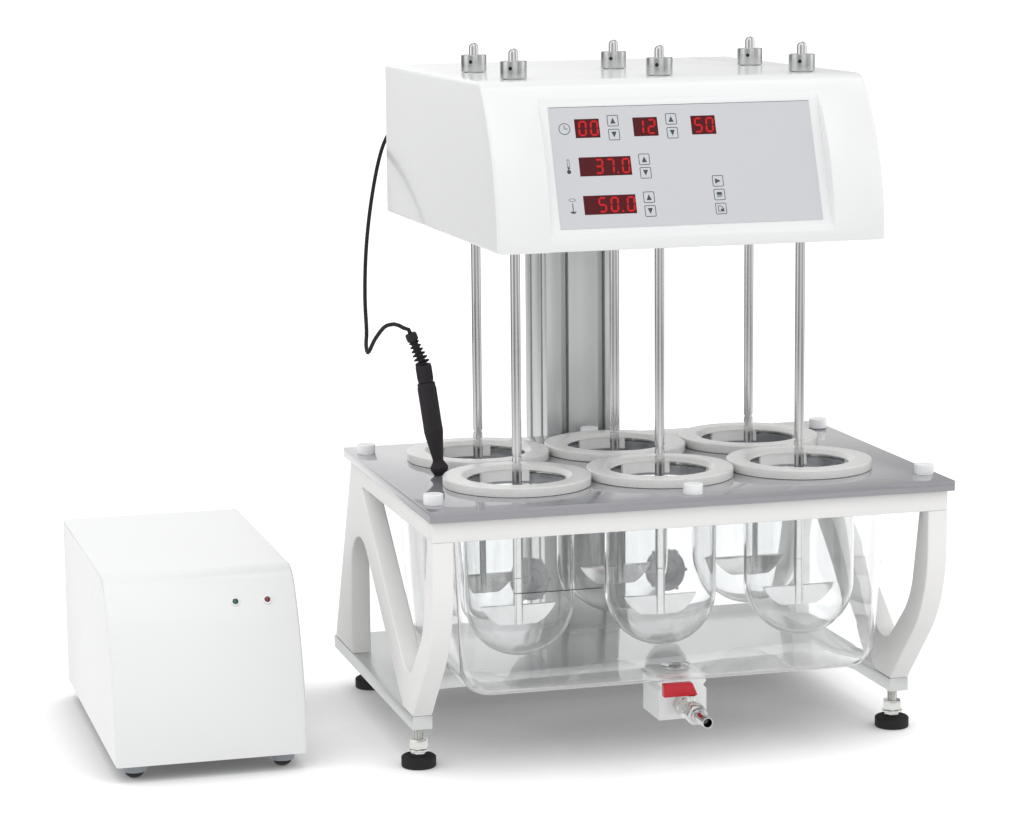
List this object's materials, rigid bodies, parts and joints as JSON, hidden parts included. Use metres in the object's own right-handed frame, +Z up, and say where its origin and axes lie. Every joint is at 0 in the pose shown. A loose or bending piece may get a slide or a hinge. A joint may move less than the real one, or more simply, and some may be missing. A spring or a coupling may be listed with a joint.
{
  "type": "tablet dissolution tester",
  "caption": "Bench tester that stirs tablets in round-bottomed glass vessels hanging in a clear heated water bath under a curved drive head, with its separate bath heater.",
  "frame": {"origin": "middle of the footprint of the tester and its heater together, on the bench", "axes": "+Z up, -Y towards the operator, +X to the operator's right"},
  "size_m": [0.801, 0.4848, 0.6888],
  "materials": {
    "gloss_white": "smooth gloss paint",
    "frame_white": "satin moulding",
    "plate_grey": "polished sheet",
    "anodised_aluminium": "clear anodised",
    "satin_steel": "fine ground",
    "zinc_plate": "bright plated",
    "clear_glass": "clear",
    "clear_plastic": "clear moulding",
    "natural_plastic": "natural, slightly milky",
    "white_plastic": "machined",
    "red_plastic": "dipped grip",
    "grey_plastic": "moulded",
    "black_plastic": "moulded",
    "black_rubber": "matt",
    "foil_grey": "printed membrane"
  },
  "bodies": {
    "stand": {"base_plate": "anodised_aluminium", "bath_port_left": "grey_plastic", "bath_port_right": "grey_plastic", "cable_gland": "grey_plastic", "centering_ring_1": "natural_plastic", "centering_ring_2": "natural_plastic", "centering_ring_3": "natural_plastic", "centering_ring_4": "natural_plastic", "centering_ring_5": "natural_plastic", "centering_ring_6": "natural_plastic", "column": "anodised_aluminium", "control_panel": "foil_grey", "drain_block": "white_plastic", "drain_flange": "satin_steel", "drain_valve": "zinc_plate", "drive_belt": "black_rubber", "drive_motor": "black_plastic", "front_rail": "frame_white", "head_chassis": "anodised_aluminium", "head_housing": "gloss_white", "heater_housing": "gloss_white", "heater_pan": "grey_plastic", "hose_nozzle": "satin_steel", "levelling_foot_front_left": "black_rubber", "levelling_foot_front_right": "black_rubber", "levelling_foot_rear_left": "black_rubber", "levelling_foot_rear_right": "black_rubber", "probe_cord": "black_rubber", "rear_rail": "frame_white", "side_frame_left": "frame_white", "side_frame_right": "frame_white", "temperature_probe": "black_plastic", "vessel_1": "clear_glass", "vessel_2": "clear_glass", "vessel_3": "clear_glass", "vessel_4": "clear_glass", "vessel_5": "clear_glass", "vessel_6": "clear_glass", "vessel_plate": "plate_grey", "water_bath": "clear_plastic"},
    "spindle_1_turn": {"spindle_1": "satin_steel"},
    "paddle_1_lift": {"paddle_1": "satin_steel", "collar_1": "anodised_aluminium"},
    "spindle_2_turn": {"spindle_2": "satin_steel"},
    "paddle_2_lift": {"paddle_2": "satin_steel", "collar_2": "anodised_aluminium"},
    "spindle_3_turn": {"spindle_3": "satin_steel"},
    "paddle_3_lift": {"paddle_3": "satin_steel", "collar_3": "anodised_aluminium"},
    "spindle_4_turn": {"spindle_4": "satin_steel"},
    "paddle_4_lift": {"paddle_4": "satin_steel", "collar_4": "anodised_aluminium"},
    "spindle_5_turn": {"spindle_5": "satin_steel"},
    "paddle_5_lift": {"paddle_5": "satin_steel", "collar_5": "anodised_aluminium"},
    "spindle_6_turn": {"spindle_6": "satin_steel"},
    "paddle_6_lift": {"paddle_6": "satin_steel", "collar_6": "anodised_aluminium"},
    "motor_pulley_turn": {"motor_pulley": "anodised_aluminium"},
    "valve_lever_turn": {"valve_lever": "red_plastic"}
  },
  "joints": [
    {"name": "spindle_1_spin", "type": "hinge", "parent": "stand", "child": "spindle_1_turn", "pos_m": [-0.007, -0.12655, 0.57], "axis": [0, 0, 1], "continuous": true},
    {"name": "paddle_1_slide", "type": "slide", "parent": "spindle_1_turn", "child": "paddle_1_lift", "axis": [0, 0, 1], "range_m": [0, 0.35]},
    {"name": "spindle_2_spin", "type": "hinge", "parent": "stand", "child": "spindle_2_turn", "pos_m": [0.1375, -0.12655, 0.57], "axis": [0, 0, 1], "continuous": true},
    {"name": "paddle_2_slide", "type": "slide", "parent": "spindle_2_turn", "child": "paddle_2_lift", "axis": [0, 0, 1], "range_m": [0, 0.35]},
    {"name": "spindle_3_spin", "type": "hinge", "parent": "stand", "child": "spindle_3_turn", "pos_m": [0.282, -0.12655, 0.57], "axis": [0, 0, 1], "continuous": true},
    {"name": "paddle_3_slide", "type": "slide", "parent": "spindle_3_turn", "child": "paddle_3_lift", "axis": [0, 0, 1], "range_m": [0, 0.35]},
    {"name": "spindle_4_spin", "type": "hinge", "parent": "stand", "child": "spindle_4_turn", "pos_m": [-0.007, 0.01795, 0.57], "axis": [0, 0, 1], "continuous": true},
    {"name": "paddle_4_slide", "type": "slide", "parent": "spindle_4_turn", "child": "paddle_4_lift", "axis": [0, 0, 1], "range_m": [0, 0.35]},
    {"name": "spindle_5_spin", "type": "hinge", "parent": "stand", "child": "spindle_5_turn", "pos_m": [0.1375, 0.01795, 0.57], "axis": [0, 0, 1], "continuous": true},
    {"name": "paddle_5_slide", "type": "slide", "parent": "spindle_5_turn", "child": "paddle_5_lift", "axis": [0, 0, 1], "range_m": [0, 0.35]},
    {"name": "spindle_6_spin", "type": "hinge", "parent": "stand", "child": "spindle_6_turn", "pos_m": [0.282, 0.01795, 0.57], "axis": [0, 0, 1], "continuous": true},
    {"name": "paddle_6_slide", "type": "slide", "parent": "spindle_6_turn", "child": "paddle_6_lift", "axis": [0, 0, 1], "range_m": [0, 0.35]},
    {"name": "motor_pulley_spin", "type": "hinge", "parent": "stand", "child": "motor_pulley_turn", "pos_m": [0.2975, -0.0543, 0.57], "axis": [0, 0, 1], "continuous": true},
    {"name": "valve_lever_turn", "type": "hinge", "parent": "stand", "child": "valve_lever_turn", "pos_m": [0.152, -0.1793, 0.0635], "axis": [0, 0, 1], "range_deg": [0, 90]}
  ],
  "couplings": [
    {"joint": "spindle_2_spin", "follows": "spindle_1_spin", "ratio": 1},
    {"joint": "spindle_3_spin", "follows": "spindle_1_spin", "ratio": 1},
    {"joint": "spindle_4_spin", "follows": "spindle_1_spin", "ratio": 1},
    {"joint": "spindle_5_spin", "follows": "spindle_1_spin", "ratio": 1},
    {"joint": "spindle_6_spin", "follows": "spindle_1_spin", "ratio": 1},
    {"joint": "motor_pulley_spin", "follows": "spindle_1_spin", "ratio": 2}
  ]
}
